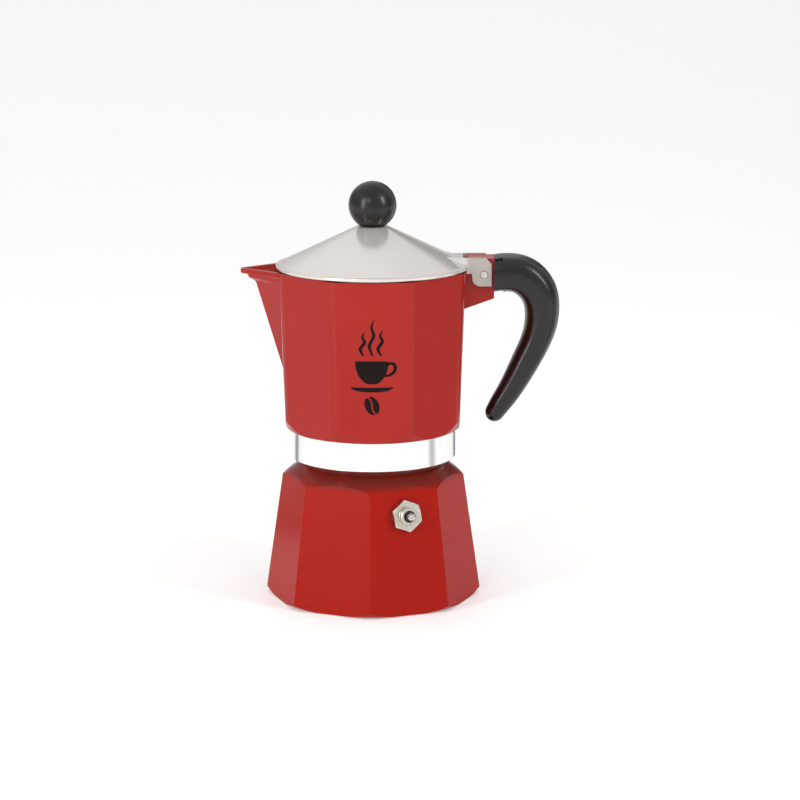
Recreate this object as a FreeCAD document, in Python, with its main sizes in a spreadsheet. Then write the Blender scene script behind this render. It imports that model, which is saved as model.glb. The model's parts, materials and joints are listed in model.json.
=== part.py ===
import FreeCAD, Part
import Sketcher
import math
import os

# ---------------------------------------------------------------------------
# Stove-top moka pot.  Millimetres, +Z up.  The origin lies on the pot's axis
# in the plane the base stands on.  +X points at the handle, -X at the spout.
# Every sub-part is an object of this document; the driving dimensions are in
# the spreadsheet "Sizes" and reach the features as expressions.  Heights in
# the sheet are measured from the octagon's datum plane; the foot ring stands
# foot_height below it, so each sub-part's Placement lifts it by that much.
# ---------------------------------------------------------------------------

V = FreeCAD.Vector
Pl = FreeCAD.Placement
Rot = FreeCAD.Rotation

doc = FreeCAD.newDocument("moka_pot")
sheet = doc.addObject("Spreadsheet::Sheet", "Sizes")


class Q:
    """A number that remembers the sheet expression it came from."""

    def __init__(self, value, text):
        self.v = float(value)
        self.e = text

    def __add__(self, other):
        o = q(other)
        return Q(self.v + o.v, "(%s + %s)" % (self.e, o.e))

    def __radd__(self, other):
        return q(other) + self

    def __sub__(self, other):
        o = q(other)
        return Q(self.v - o.v, "(%s - %s)" % (self.e, o.e))

    def __rsub__(self, other):
        return q(other) - self

    def __mul__(self, other):
        o = q(other)
        return Q(self.v * o.v, "(%s * %s)" % (self.e, o.e))

    def __rmul__(self, other):
        return q(other) * self

    def __truediv__(self, other):
        o = q(other)
        return Q(self.v / o.v, "(%s / %s)" % (self.e, o.e))

    def __neg__(self):
        return Q(-self.v, "(0 - %s)" % self.e)


def q(x):
    return x if isinstance(x, Q) else Q(x, "%.6f" % float(x) if float(x) >= 0 else "(0 - %.6f)" % -float(x))


dims = {}
row = 0


def size(name, value, note):
    """Put one driving dimension in the sheet and return it."""
    global row
    row += 1
    sheet.set("A%d" % row, name)
    sheet.set("B%d" % row, "%.6f" % value)
    sheet.setAlias("B%d" % row, name)
    sheet.set("C%d" % row, note)
    dims[name] = Q(value, "Sizes." + name)
    return dims[name]


# --- boiler ----------------------------------------------------------------
foot_height = size("foot_height", 1.2, "how far the foot ring stands below the octagon's datum plane")
boiler_corner = size("boiler_corner", 41.64, "octagon corner radius at the datum plane")
boiler_draft = size("boiler_draft", 7.606, "facet draft, degrees")
boiler_spin = size("boiler_spin", -1.0, "turn of the boiler's octagon about Z, degrees")
boiler_top = size("boiler_top", 62.0, "height of the boiler's mouth")
foot_rad = size("foot_rad", 38.3, "bare foot ring")
enamel_rad = size("enamel_rad", 39.0, "turned lower edge of the enamelled octagon")
shoulder_rad = size("shoulder_rad", 35.04, "corner radius where the shoulder starts")
shoulder_z = size("shoulder_z", 45.7, "height of the shoulder at a corner")
shoulder_slope = size("shoulder_slope", 0.767, "rise per run of the shoulder cone")
neck_rad = size("neck_rad", 27.6, "core radius of the threaded neck")
mouth_rad = size("mouth_rad", 24.6, "inner radius of the mouth")
thread_pitch = size("thread_pitch", 3.0, "pitch of the neck thread")
thread_crest = size("thread_crest", 28.5, "crest radius of the neck thread")

# --- collector ---------------------------------------------------------------
skirt_rad = size("skirt_rad", 31.8, "outer radius of the bare skirt")
skirt_low = size("skirt_low", 53.15, "lower edge of the skirt")
skirt_bore = size("skirt_bore", 28.85, "root radius of the skirt's thread")
jug_low = size("jug_low", 64.7, "lower edge of the jug's octagon")
jug_top = size("jug_top", 126.4, "rim of the jug")
jug_low_apo = size("jug_low_apo", 33.1, "facet distance at the lower edge")
jug_draft = size("jug_draft", 1.95, "outward draft of the jug, degrees")
jug_round = size("jug_round", 6.0, "rounding of the jug's upright corners")
jug_in_low = size("jug_in_low", 30.4, "inner radius above the floor")
jug_in_top = size("jug_in_top", 32.9, "inner radius at the rim")
floor_z = size("floor_z", 71.0, "floor of the jug")
gasket_seat = size("gasket_seat", 66.0, "face the gasket presses on")

# --- hinge -------------------------------------------------------------------
pin_x = size("pin_x", 42.3, "hinge axis, X")
pin_z = size("pin_z", 124.85, "hinge axis, Z")
pin_rad = size("pin_rad", 1.25, "hinge pin radius")
lug_half = size("lug_half", 5.5, "half width of the lug")
lug_top = size("lug_top", 130.8, "top of the lug")
ear_in = size("ear_in", 5.75, "inner face of an ear")
ear_thick = size("ear_thick", 1.4, "sheet thickness of an ear")

# --- lid and knob --------------------------------------------------------------
lid_rad = size("lid_rad", 36.9, "outer radius of the lid's rim")
lid_low = size("lid_low", 126.76, "lower edge of the lid's rim")
lid_flat = size("lid_flat", 142.5, "flat top the knob stands on")
lid_flat_rad = size("lid_flat_rad", 6.0, "radius of that flat")
lid_sheet = size("lid_sheet", 1.2, "lid sheet thickness")
knob_rad = size("knob_rad", 9.16, "ball radius")
knob_z = size("knob_z", 150.5, "ball centre height")

# --- valve ---------------------------------------------------------------------
valve_z = size("valve_z", 37.0, "height where the valve's axis meets the facet")
valve_apo = size("valve_apo", 33.53, "distance of that point from the pot's axis")
valve_az = size("valve_az", 21.5, "facet direction from -Y towards +X, degrees")
hex_flats = size("hex_flats", 10.8, "across flats")
valve_side = size("valve_side", 0.0, "how far the valve stands off the facet's centre line, sideways")
valve_bore = size("valve_bore", 2.9, "bore the piston slides in")

# --- funnel ----------------------------------------------------------------------
basket_rad = size("basket_rad", 24.1, "outer radius of the basket")
basket_low = size("basket_low", 44.0, "lower edge of the basket's wall")
sheet_metal = size("sheet_metal", 0.8, "funnel sheet thickness")
stem_rad = size("stem_rad", 3.6, "outer radius of the suction tube")

doc.recompute()


# ---------------------------------------------------------------------------
# Helpers that make ordinary FreeCAD features
# ---------------------------------------------------------------------------

def new_body(name):
    b = doc.addObject("PartDesign::Body", name)
    b.Label = name
    return b


def origin_plane(body, role):
    for f in body.Origin.OriginFeatures:
        if f.Role == role:
            return f
    raise RuntimeError("no plane " + role)


def new_sketch(body, name, role, offset=None, spin=None):
    sk = body.newObject("Sketcher::SketchObject", name)
    sk.AttachmentSupport = [(origin_plane(body, role), "")]
    sk.MapMode = "FlatFace"
    off = q(offset) if offset is not None else q(0)
    ang = q(spin) if spin is not None else q(0)
    sk.AttachmentOffset = Pl(V(0, 0, off.v), Rot(V(0, 0, 1), ang.v))
    if offset is not None:
        sk.setExpression("AttachmentOffset.Base.z", off.e)
    if spin is not None:
        sk.setExpression("AttachmentOffset.Rotation.Angle", ang.e)
    return sk


def place_point(sk, geo, pos, x, y):
    """Fix one vertex by its two coordinates, bound to the sheet."""
    for kind, c, axis in (("DistanceX", x, -2), ("DistanceY", y, -1)):
        if abs(c.v) < 1e-9:
            sk.addConstraint(Sketcher.Constraint("PointOnObject", geo, pos, axis))
        else:
            i = sk.addConstraint(Sketcher.Constraint(kind, -1, 1, geo, pos, c.v))
            if "Sizes" in c.e:
                sk.setExpression("Constraints[%d]" % i, c.e)


def outline(sk, pts):
    """A closed outline.  pts: (x, y) or (x, y, radius, turn); with a radius the
    run to the next vertex is an arc, turn +1 counter-clockwise, -1 clockwise."""
    items = []
    n = len(pts)
    for i, p in enumerate(pts):
        a = (q(p[0]), q(p[1]))
        nxt = pts[(i + 1) % n]
        b = (q(nxt[0]), q(nxt[1]))
        pa, pb = V(a[0].v, a[1].v, 0), V(b[0].v, b[1].v, 0)
        if len(p) > 2:
            r, turn = q(p[2]), p[3]
            mid = (pa + pb) * 0.5
            d = pb - pa
            half = d.Length / 2
            up = V(-d.y, d.x, 0).normalize()
            rise = math.sqrt(max(r.v * r.v - half * half, 0.0))
            ctr = mid + up * (rise * turn)
            a0 = math.atan2(pa.y - ctr.y, pa.x - ctr.x)
            a1 = math.atan2(pb.y - ctr.y, pb.x - ctr.x)
            if turn > 0:
                g = sk.addGeometry(Part.ArcOfCircle(Part.Circle(ctr, V(0, 0, 1), r.v), a0, a1))
                items.append((g, 1, 2, a, r))
            else:
                g = sk.addGeometry(Part.ArcOfCircle(Part.Circle(ctr, V(0, 0, 1), r.v), a1, a0))
                items.append((g, 2, 1, a, r))
        else:
            g = sk.addGeometry(Part.LineSegment(pa, pb))
            items.append((g, 1, 2, a, None))
    for i, it in enumerate(items):
        nx = items[(i + 1) % n]
        sk.addConstraint(Sketcher.Constraint("Coincident", it[0], it[2], nx[0], nx[1]))
    for it in items:
        place_point(sk, it[0], it[1], it[3][0], it[3][1])
        if it[4] is not None:
            i = sk.addConstraint(Sketcher.Constraint("Radius", it[0], it[4].v))
            if "Sizes" in it[4].e:
                sk.setExpression("Constraints[%d]" % i, it[4].e)
    return sk


def circle(sk, x, y, r):
    x, y, r = q(x), q(y), q(r)
    g = sk.addGeometry(Part.Circle(V(x.v, y.v, 0), V(0, 0, 1), r.v))
    place_point(sk, g, 3, x, y)
    i = sk.addConstraint(Sketcher.Constraint("Radius", g, r.v))
    if "Sizes" in r.e:
        sk.setExpression("Constraints[%d]" % i, r.e)
    return g


def bind(obj, prop, value):
    value = q(value)
    setattr(obj, prop, value.v)
    if "Sizes" in value.e:
        obj.setExpression(prop, value.e)


def octagon(sk, corner, first):
    """Octagon with its corners at first + 45 k degrees."""
    corner = q(corner)
    pts = []
    for k in range(8):
        t = math.radians(first + 45 * k)
        pts.append((corner * round(math.cos(t), 9), corner * round(math.sin(t), 9)))
    return outline(sk, pts)


def pad(body, name, sk, length, symmetric=False, reverse=False, taper=None):
    f = body.newObject("PartDesign::Pad", name)
    f.Profile = sk
    bind(f, "Length", length)
    if symmetric:
        f.SideType = "Symmetric"
    f.Reversed = reverse
    if taper is not None:
        bind(f, "TaperAngle", taper)
    sk.Visibility = False
    return f


def volume_now(body):
    doc.recompute()
    return body.Shape.Volume if body.Shape and not body.Shape.isNull() else 0.0


def pocket(body, name, sk, length=None, symmetric=False):
    """A pocket that is turned round when its first direction cuts nothing."""
    before = volume_now(body)
    f = body.newObject("PartDesign::Pocket", name)
    f.Profile = sk
    if length is not None:
        bind(f, "Length", length)
        if symmetric:
            f.SideType = "Symmetric"
    else:
        f.Type = "ThroughAll"
        if symmetric:
            f.SideType = "Symmetric"
    doc.recompute()
    if body.Shape.Volume > before - 1e-3:
        f.Reversed = True
        doc.recompute()
    if body.Shape.Volume > before - 1e-3:
        raise RuntimeError("pocket cuts nothing: " + name)
    return f


def revolve(body, name, sk, angle=360.0):
    f = body.newObject("PartDesign::Revolution", name)
    f.Profile = sk
    f.ReferenceAxis = (sk, ["V_Axis"])
    f.Angle = angle
    return f


def groove(body, name, sk):
    before = volume_now(body)
    f = body.newObject("PartDesign::Groove", name)
    f.Profile = sk
    f.ReferenceAxis = (sk, ["V_Axis"])
    f.Angle = 360.0
    doc.recompute()
    if body.Shape.Volume > before - 1e-3:
        raise RuntimeError("groove cuts nothing: " + name)
    return f


def turned(name, pts):
    """A lathe part: one revolved outline."""
    b = new_body(name)
    sk = outline(new_sketch(b, name + "_profile", "XZ_Plane"), pts)
    revolve(b, name + "_turning", sk)
    return b


def edges_where(feature, test):
    names = []
    for i, e in enumerate(feature.Shape.Edges):
        if test(e):
            names.append("Edge%d" % (i + 1))
    return names


def round_edges(body, name, test, radius):
    """Fillet of the edges that the test picks on the body's tip."""
    doc.recompute()
    base = body.Tip
    picked = edges_where(base, test)
    if not picked:
        raise RuntimeError("no edge for " + name)
    f = body.newObject("PartDesign::Fillet", name)
    f.Base = (base, picked)
    bind(f, "Radius", radius)
    doc.recompute()
    return f


def helix_ridge(body, name, sk, pitch, height):
    f = body.newObject("PartDesign::AdditiveHelix", name)
    f.Profile = sk
    f.ReferenceAxis = (sk, ["V_Axis"])
    f.Mode = "pitch-height-angle"
    bind(f, "Pitch", pitch)
    bind(f, "Height", height)
    f.Angle = 0
    f.LeftHanded = False
    f.Reversed = False
    return f


def ring_of_holes(body, name, count, ring, hole, depth_from, role="XY_Plane"):
    sk = new_sketch(body, name + "_sk", role, depth_from)
    circle(sk, ring, 0, hole)
    p = pocket(body, name, sk, 3.0, symmetric=True)
    pp = body.newObject("PartDesign::PolarPattern", name + "_ring")
    pp.Originals = [p]
    pp.Axis = (sk, ["N_Axis"])
    pp.Angle = 360.0
    pp.Occurrences = count
    body.Tip = pp
    doc.recompute()
    return pp


nodes = []          # (document object, node name)


def keep(obj, name):
    obj.Label = name
    obj.Placement = Pl(V(0, 0, foot_height.v), Rot()).multiply(obj.Placement)
    nodes.append((obj, name))


# ---------------------------------------------------------------------------
# Boiler: octagonal casting, turned foot, coned shoulder, threaded neck
# ---------------------------------------------------------------------------
boiler = new_body("boiler_casting")
draft_run = math.tan(math.radians(boiler_draft.v)) / math.cos(math.pi / 8)
sk = octagon(new_sketch(boiler, "boiler_octagon", "XY_Plane", offset=-foot_height, spin=boiler_spin),
             boiler_corner + foot_height * draft_run, -90.0)
pad(boiler, "boiler_block", sk, boiler_top + foot_height, taper=-boiler_draft)


def shoulder_at(r):
    return shoulder_z + shoulder_slope * (shoulder_rad - q(r))


# everything outside the shoulder cone and the neck is turned away
sk = outline(new_sketch(boiler, "shoulder_profile", "XZ_Plane"), [
    (neck_rad, shoulder_at(neck_rad)), (52, shoulder_at(52)), (52, 80), (neck_rad, 80)])
groove(boiler, "shoulder_turning", sk)
# the octagon's corners run down into a turned foot
sk = outline(new_sketch(boiler, "foot_profile", "XZ_Plane"), [
    (foot_rad, -foot_height - 0.5), (foot_rad, -0.8), (enamel_rad, -0.8), (enamel_rad + 4.0, 1.9), (enamel_rad + 8.0, 1.9),
    (enamel_rad + 8.0, -foot_height - 0.5)])
groove(boiler, "foot_turning", sk)


def upright(e):
    b = e.BoundBox
    return b.ZLength > 30 and math.hypot(b.Center.x, b.Center.y) > 34


round_edges(boiler, "boiler_corners", upright, 0.7)
# chamber, shoulder from inside, and the mouth
sk = outline(new_sketch(boiler, "chamber_profile", "XZ_Plane"), [
    (0, 3.4), (30.5, 3.4), (34.0, 6.9, 3.5, 1), (29.4, 43.0), (mouth_rad, 47.2), (mouth_rad, 70), (0, 70)])
sk.deleteAllGeometry()
sk = outline(sk, [
    (0, 3.4), (30.5, 3.4, 3.6, 1), (34.0, 6.9), (29.4, 43.0), (mouth_rad, 47.2), (mouth_rad, 70), (0, 70)])
groove(boiler, "chamber", sk)
# the underside is hollowed a little so that only a ring stands on the stove
sk = outline(new_sketch(boiler, "base_profile", "XZ_Plane"), [
    (0, -foot_height - 1), (35.6, -foot_height - 1), (35.6, -foot_height), (35.0, -foot_height + 0.5), (20.0, -foot_height + 0.5),
    (19.6, -foot_height + 0.8), (0, -foot_height + 0.9)])
groove(boiler, "base_recess", sk)
# right-hand male thread
sk = outline(new_sketch(boiler, "neck_thread_profile", "XZ_Plane"), [
    (neck_rad - 0.3, 52.2), (neck_rad, 52.2), (thread_crest, 53.0), (thread_crest, 53.6),
    (neck_rad, 54.4), (neck_rad - 0.3, 54.4)])
helix_ridge(boiler, "neck_thread", sk, thread_pitch, 6.6)
doc.recompute()

# the valve's axis leaves the facet at a right angle
az = math.radians(valve_az.v)
tilt = math.radians(boiler_draft.v)
valve_dir = V(math.cos(tilt) * math.sin(az), -math.cos(tilt) * math.cos(az), math.sin(tilt))
valve_pos = V(valve_apo.v * math.sin(az) + valve_side.v * math.cos(az),
              -valve_apo.v * math.cos(az) + valve_side.v * math.sin(az), valve_z.v)
roll = Rot(V(0, 0, 1), valve_dir)
# local X is turned so that one corner of the hexagon points a little left of up
up_in_face = V(0, 0, 1) - valve_dir * valve_dir.z
up_in_face.normalize()
side_in_face = valve_dir.cross(up_in_face)
lean = math.radians(9.0)
corner_dir = up_in_face * math.cos(lean) + side_in_face * math.sin(lean)
frame_y = valve_dir.cross(corner_dir)
mtx = FreeCAD.Matrix(corner_dir.x, frame_y.x, valve_dir.x, 0,
                     corner_dir.y, frame_y.y, valve_dir.y, 0,
                     corner_dir.z, frame_y.z, valve_dir.z, 0, 0, 0, 0, 1)
valve_frame = Pl(mtx)
valve_frame.Base = valve_pos


def at_valve(along):
    p = Pl(valve_frame)
    p.Base = valve_pos + valve_dir * along
    return p


drill = doc.addObject("Part::Cylinder", "valve_hole_drill")
drill.Radius = 4.05
drill.Height = 16
drill.Placement = at_valve(-12)
boiler_cut = doc.addObject("Part::Cut", "boiler")
boiler_cut.Base = boiler
boiler_cut.Tool = drill
keep(boiler_cut, "boiler")

# ---------------------------------------------------------------------------
# Safety valve, built along local Z from the facet outwards
# ---------------------------------------------------------------------------
vb = new_body("valve_body")
sk = new_sketch(vb, "hex_outline", "XY_Plane", 0.6)
hex_corner = hex_flats / math.sqrt(3.0)
outline(sk, [(hex_corner * round(math.cos(math.radians(60 * k)), 9),
              hex_corner * round(math.sin(math.radians(60 * k)), 9)) for k in range(6)])
pad(vb, "hex_head", sk, 2.3)
sk = outline(new_sketch(vb, "hex_chamfer_profile", "XZ_Plane"), [
    (hex_flats / 2 - 0.1, 3.0), (hex_flats / 2 + 1.5, 2.1), (hex_flats / 2 + 1.5, 3.0)])
groove(vb, "hex_chamfer", sk)
sk = outline(new_sketch(vb, "shank_profile", "XZ_Plane"), [
    (0, -9.0), (3.6, -9.0), (4.0, -8.6), (4.0, 0.7), (3.9, 2.7), (3.6, 2.9), (3.4, 3.3), (3.4, 4.7), (3.1, 5.0), (0, 5.0)])
revolve(vb, "shank", sk)
sk = outline(new_sketch(vb, "valve_bore_profile", "XZ_Plane"), [
    (0, -9.5), (valve_bore, -9.5), (valve_bore, 3.0), (2.3, 3.0), (2.3, 6.5), (0, 6.5)])
groove(vb, "valve_bores", sk)
vb.Placement = at_valve(0)
keep(vb, "valve_body")

vw = turned("valve_washer", [(4.05, 0), (5.3, 0), (5.3, 0.6), (4.05, 0.6)])
vw.Placement = at_valve(0)
keep(vw, "valve_washer")

vp = turned("valve_pin", [
    (0, -6.6), (2.65, -6.6), (2.85, -6.4), (2.85, -5.5), (2.75, -5.4), (1.55, -5.4), (1.55, 7.7), (1.1, 8.4), (0.5, 8.75), (0, 8.8)])
vp.Placement = at_valve(0)
keep(vp, "valve_pin")

vs = turned("valve_seal", [(0, -7.2), (2.3, -7.2), (2.4, -7.1), (2.4, -6.6), (0, -6.6)])
vs.Placement = at_valve(0)
keep(vs, "valve_seal")

vt = turned("valve_seat", [(1.6, -9.0), (2.9, -9.0), (2.9, -7.2), (1.9, -7.2), (1.6, -7.5)])
vt.Placement = at_valve(0)
keep(vt, "valve_seat")

# compression spring between the piston and the lip of the bore
hx = doc.addObject("Part::Helix", "spring_helix")
hx.Pitch = 1.28
hx.Height = 7.68
hx.Radius = 2.48
hx.Angle = 0
wire_loop = doc.addObject("Part::Circle", "spring_wire")
wire_loop.Radius = 0.27
wire_loop.Placement = Pl(V(2.48, 0, 0), Rot(V(1, 0, 0), 90))
spring = doc.addObject("Part::Sweep", "valve_spring")
spring.Sections = [wire_loop]
spring.Spine = (hx, [])
spring.Solid = True
spring.Frenet = True
spring.Placement = at_valve(-5.05)
keep(spring, "valve_spring")

# ---------------------------------------------------------------------------
# Filter funnel: spun basket and cone, tube, perforated disc
# ---------------------------------------------------------------------------
fb = turned("funnel_bowl", [
    (stem_rad, 29.0), (stem_rad + sheet_metal, 29.0), (stem_rad + sheet_metal, 33.6), (basket_rad, basket_low),
    (basket_rad, boiler_top), (27.0, boiler_top), (27.3, boiler_top + 0.4), (27.0, boiler_top + 0.8),
    (basket_rad - 0.4, boiler_top + 0.8), (basket_rad - sheet_metal, boiler_top + 0.4),
    (basket_rad - sheet_metal, basket_low + 0.4), (stem_rad, 34.0)])
keep(fb, "funnel_bowl")

fs = turned("funnel_stem", [(3.0, 5.5), (3.3, 5.5), (stem_rad, 5.8), (stem_rad, 33.8), (3.0, 33.8)])
keep(fs, "funnel_stem")

sc = turned("funnel_screen", [(0, 44.4), (basket_rad - sheet_metal - 0.1, 44.4),
                              (basket_rad - sheet_metal - 0.1, 45.0), (0, 45.0)])
for i, (n, r) in enumerate(((6, 4.0), (12, 8.0), (18, 12.0), (24, 16.0), (30, 20.0))):
    ring_of_holes(sc, "screen_hole%s" % "abcde"[i], n, r, 0.75, 44.7)
sk = new_sketch(sc, "screen_hole_mid_sk", "XY_Plane", 44.7)
circle(sk, 0, 0, 0.75)
pocket(sc, "screen_hole_mid", sk, 3.0, symmetric=True)
keep(sc, "funnel_screen")

# ---------------------------------------------------------------------------
# Gasket and filter plate under the collector
# ---------------------------------------------------------------------------
gk = turned("gasket", [(21.5, 62.9), (21.8, 62.8), (27.3, 62.8), (27.6, 63.1), (27.6, 65.7), (27.3, 66.0), (21.8, 66.0), (21.5, 65.7)])
keep(gk, "gasket")

fp = turned("filter_plate", [(0, 66.05), (24.7, 66.05), (24.7, 66.85), (22.4, 66.85), (21.6, 67.25), (20.9, 67.25), (20.5, 66.85), (0, 66.85)])
for i, (n, r) in enumerate(((8, 4.5), (14, 8.5), (20, 12.5), (26, 16.5))):
    ring_of_holes(fp, "plate_hole%s" % "abcd"[i], n, r, 0.7, 66.45)
keep(fp, "filter_plate")

# ---------------------------------------------------------------------------
# Collector: jug, spout, lug and threaded skirt in one casting
# ---------------------------------------------------------------------------
jug = new_body("collector_casting")
sk = octagon(new_sketch(jug, "jug_octagon", "XY_Plane", jug_low), jug_low_apo / math.cos(math.pi / 8), 22.5)
pad(jug, "jug_block", sk, jug_top - jug_low, taper=jug_draft)


def jug_upright(e):
    return e.BoundBox.ZLength > 50


round_edges(jug, "jug_corners", jug_upright, jug_round)
# the lower edge is turned to a circle with a soft round
sk = outline(new_sketch(jug, "jug_edge_profile", "XZ_Plane"), [
    (jug_low_apo - 0.9, jug_low - 1), (jug_low_apo - 0.9, jug_low, 2.0, 1), (jug_low_apo + 0.7, jug_low + 1.1), (jug_low_apo + 2.9, jug_low + 5.5),
    (jug_low_apo + 8, jug_low + 5.5), (jug_low_apo + 8, jug_low - 1)])
groove(jug, "jug_edge", sk)


# V-shaped spout: a stack of horizontal sections, each a blunt triangle
def spout_section(name, z, tip, tip_half, root, root_half):
    s_ = new_sketch(jug, name, "XY_Plane", z)
    return outline(s_, [(-24, -(q(root_half))), (root, -(q(root_half))), (tip, -(q(tip_half))), (tip, tip_half), (root, root_half), (-24, root_half)])


def stack(body, kind, name, sections):
    f = body.newObject("PartDesign::" + kind, name)
    f.Profile = sections[0]
    f.Sections = sections[1:]
    f.Ruled = True
    f.Closed = False
    doc.recompute()
    return f


spout_tip = size("spout_tip", -50.25, "tip of the pouring lip")
doc.recompute()
levels = [
    (85.5, -33.85, 0.25, -33.3, 0.9),
    (121.1, -44.45, 0.9, -34.6, 12.4),
    (121.75, -45.0, 0.9, -34.6, 12.6),
    (122.9, -47.1, 0.9, -34.8, 13.2),
    (124.0, -47.6, 0.9, -34.8, 13.4),
    (124.6, spout_tip + 0.3, 1.1, -34.9, 14.0),
    (125.0, spout_tip, 1.2, -34.9, 14.1),
    (jug_top - 0.3, spout_tip, 1.2, -34.9, 14.1),
    (jug_top, spout_tip + 0.3, 1.1, -34.9, 13.9)]
secs = [spout_section("spout_out%s" % "abcdefghi"[i], z, t_, th, r_, rh) for i, (z, t_, th, r_, rh) in enumerate(levels)]
stack(jug, "AdditiveLoft", "spout_outside", secs)

# lug: carries the hinge pin and goes on as a tenon into the handle
sk = outline(new_sketch(jug, "lug_outline", "XZ_Plane"), [
    (30, 110.4), (35.4, 111.6), (46.2, 115.5), (46.2, lug_top), (36.6, lug_top), (35.1, 129.0), (35.1, jug_top), (30, jug_top)])
pad(jug, "lug", sk, lug_half * 2, symmetric=True)
sk = outline(new_sketch(jug, "tenon_outline", "XZ_Plane"), [
    (46.0, 119.0), (56.0, 119.0), (56.0, 129.4), (46.0, 129.4)])
pad(jug, "tenon", sk, 9.2, symmetric=True)

# skirt and floor disc
sk = outline(new_sketch(jug, "skirt_profile", "XZ_Plane"), [
    (0, 67.0), (0, 60.0), (skirt_bore - 1.5, 60.0), (skirt_bore - 1.5, skirt_low), (skirt_rad - 0.8, skirt_low),
    (skirt_rad, skirt_low + 0.8), (skirt_rad, jug_low + 1.5), (skirt_rad - 4, 67.0)])
revolve(jug, "skirt", sk)

# inside of the jug, with a low boss for the column
sk = outline(new_sketch(jug, "jug_inside_profile", "XZ_Plane"), [
    (0, floor_z + 3.0), (7.0, floor_z + 3.0), (8.6, floor_z), (jug_in_low - 3.0, floor_z, 3.0, 1), (jug_in_low, floor_z + 3.0), (jug_in_top, jug_top), (jug_in_top, jug_top + 20), (0, jug_top + 20)])
sk.deleteAllGeometry()
outline(sk, [
    (0, floor_z + 3.0), (7.0, floor_z + 3.0), (8.6, floor_z), (jug_in_low - 3.0, floor_z, 3.05, 1), (jug_in_low, floor_z + 3.0),
    (jug_in_top, jug_top), (34.4, jug_top + 0.6), (34.4, jug_top + 3.2), (0, jug_top + 3.2)])
groove(jug, "jug_inside", sk)

# pouring channel
inner = [
    (91.0, -30.2, 0.3, -29.8, 0.6),
    (120.5, -41.6, 0.7, -31.5, 9.6),
    (123.6, -43.6, 0.8, -31.8, 10.4),
    (125.2, -47.6, 0.6, -33.4, 11.4),
    (jug_top + 0.4, -49.0, 0.6, -34.0, 12.4)]
secs = [spout_section("spout_in%s" % "abcde"[i], z, t_, th, r_, rh) for i, (z, t_, th, r_, rh) in enumerate(inner)]
before = volume_now(jug)
stack(jug, "SubtractiveLoft", "spout_channel", secs)
if jug.Shape.Volume > before - 1:
    raise RuntimeError("spout channel cuts nothing")

# underside: thread bore, gasket pocket, filter plate recess, chamber, riser hole
sk = outline(new_sketch(jug, "underside_profile", "XZ_Plane"), [
    (0, 50), (skirt_bore, 50), (skirt_bore, 62.4), (27.9, 62.9), (27.9, gasket_seat), (24.9, gasket_seat), (24.9, gasket_seat + 0.9),
    (22.6, gasket_seat + 1.3), (6.0, 69.0), (4.0, 69.4), (4.0, floor_z + 5), (0, floor_z + 5)])
groove(jug, "underside", sk)
# right-hand female thread, half a pitch away from the neck's ridge
sk = outline(new_sketch(jug, "skirt_thread_profile", "XZ_Plane"), [
    (skirt_bore + 0.3, 54.0), (skirt_bore + 0.3, 56.2), (skirt_bore, 56.2), (27.95, 55.4), (27.95, 54.8), (skirt_bore, 54.0)])
helix_ridge(jug, "skirt_thread", sk, thread_pitch, 5.6)
doc.recompute()
# hinge hole through the lug and the screw hole up into the tenon
sk = new_sketch(jug, "hinge_hole_sk", "XZ_Plane")
circle(sk, pin_x, pin_z, pin_rad + 0.02)
pocket(jug, "hinge_hole", sk, 20.0, symmetric=True)
sk = new_sketch(jug, "handle_screw_hole_sk", "XY_Plane", 115.0)
circle(sk, 51.4, 0, 1.3)
pocket(jug, "handle_screw_hole", sk, 12.0, symmetric=True)
keep(jug, "collector")

col = turned("column", [
    (2.6, 69.6), (3.95, 69.6), (3.95, 74.05), (5.6, 74.05), (5.5, 75.2), (4.9, 77.0), (4.2, 112.5), (3.6, 113.6), (2.2, 114.2),
    (0, 114.4), (0, 112.6), (1.6, 112.2), (2.6, 111.0)])
sk = new_sketch(col, "outlet_sk", "XZ_Plane")
outline(sk, [(-1.5, 106.0), (1.5, 106.0), (1.5, 110.6), (-1.5, 110.6)])
pocket(col, "outlets", sk, 20.0, symmetric=True)
keep(col, "column")

# ---------------------------------------------------------------------------
# Lid: coned pressing with a rolled rim, a raised rear tab and two hinge ears
# ---------------------------------------------------------------------------
lid = new_body("lid_pressing")
cone_low_r, cone_low_z = q(35.4), q(128.48)
sk = outline(new_sketch(lid, "lid_profile", "XZ_Plane"), [
    (1.7, lid_flat - lid_sheet), (1.7, lid_flat), (lid_flat_rad, lid_flat), (cone_low_r, cone_low_z),
    (35.7, 128.22), (36.45, 128.12, 0.5, -1), (lid_rad, 127.67), (lid_rad, lid_low + 0.25), (lid_rad - 0.3, lid_low),
    (lid_rad - 1.1, lid_low), (34.6, 127.6), (lid_flat_rad - 0.4, lid_flat - lid_sheet)])
revolve(lid, "lid_cone", sk)


def ear_outline(name, offset):
    s_ = new_sketch(lid, name, "XZ_Plane", offset)
    return outline(s_, [
        (28.9, 130.9), (34.2, 128.2), (35.7, 127.2), (35.7, 125.2), (37.7, 125.2), (37.8, 123.4, 3.2, 1), (40.8, 120.4),
        (45.15, 120.4), (45.1, 128.9), (43.0, 131.2), (29.6, 131.15)])


sk = ear_outline("ear_near_outline", ear_in)
pad(lid, "ear_near", sk, ear_thick)
sk = ear_outline("ear_far_outline", -ear_in)
pad(lid, "ear_far", sk, ear_thick, reverse=True)
# top plate that joins the ears to the cone
sk = outline(new_sketch(lid, "tab_outline", "XZ_Plane"), [
    (28.3, 131.0), (34.4, 130.0), (34.4, 131.15), (29.6, 131.15), (28.3, 131.6)])
pad(lid, "rear_tab", sk, (ear_in + ear_thick) * 2, symmetric=True)


def ear_shoulder(e):
    b = e.BoundBox
    return (b.XLength > 12 and b.ZLength < 0.3 and abs(b.YMin) > 7.0 and b.YLength < 0.01 and b.ZMin > 130.9)


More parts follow.
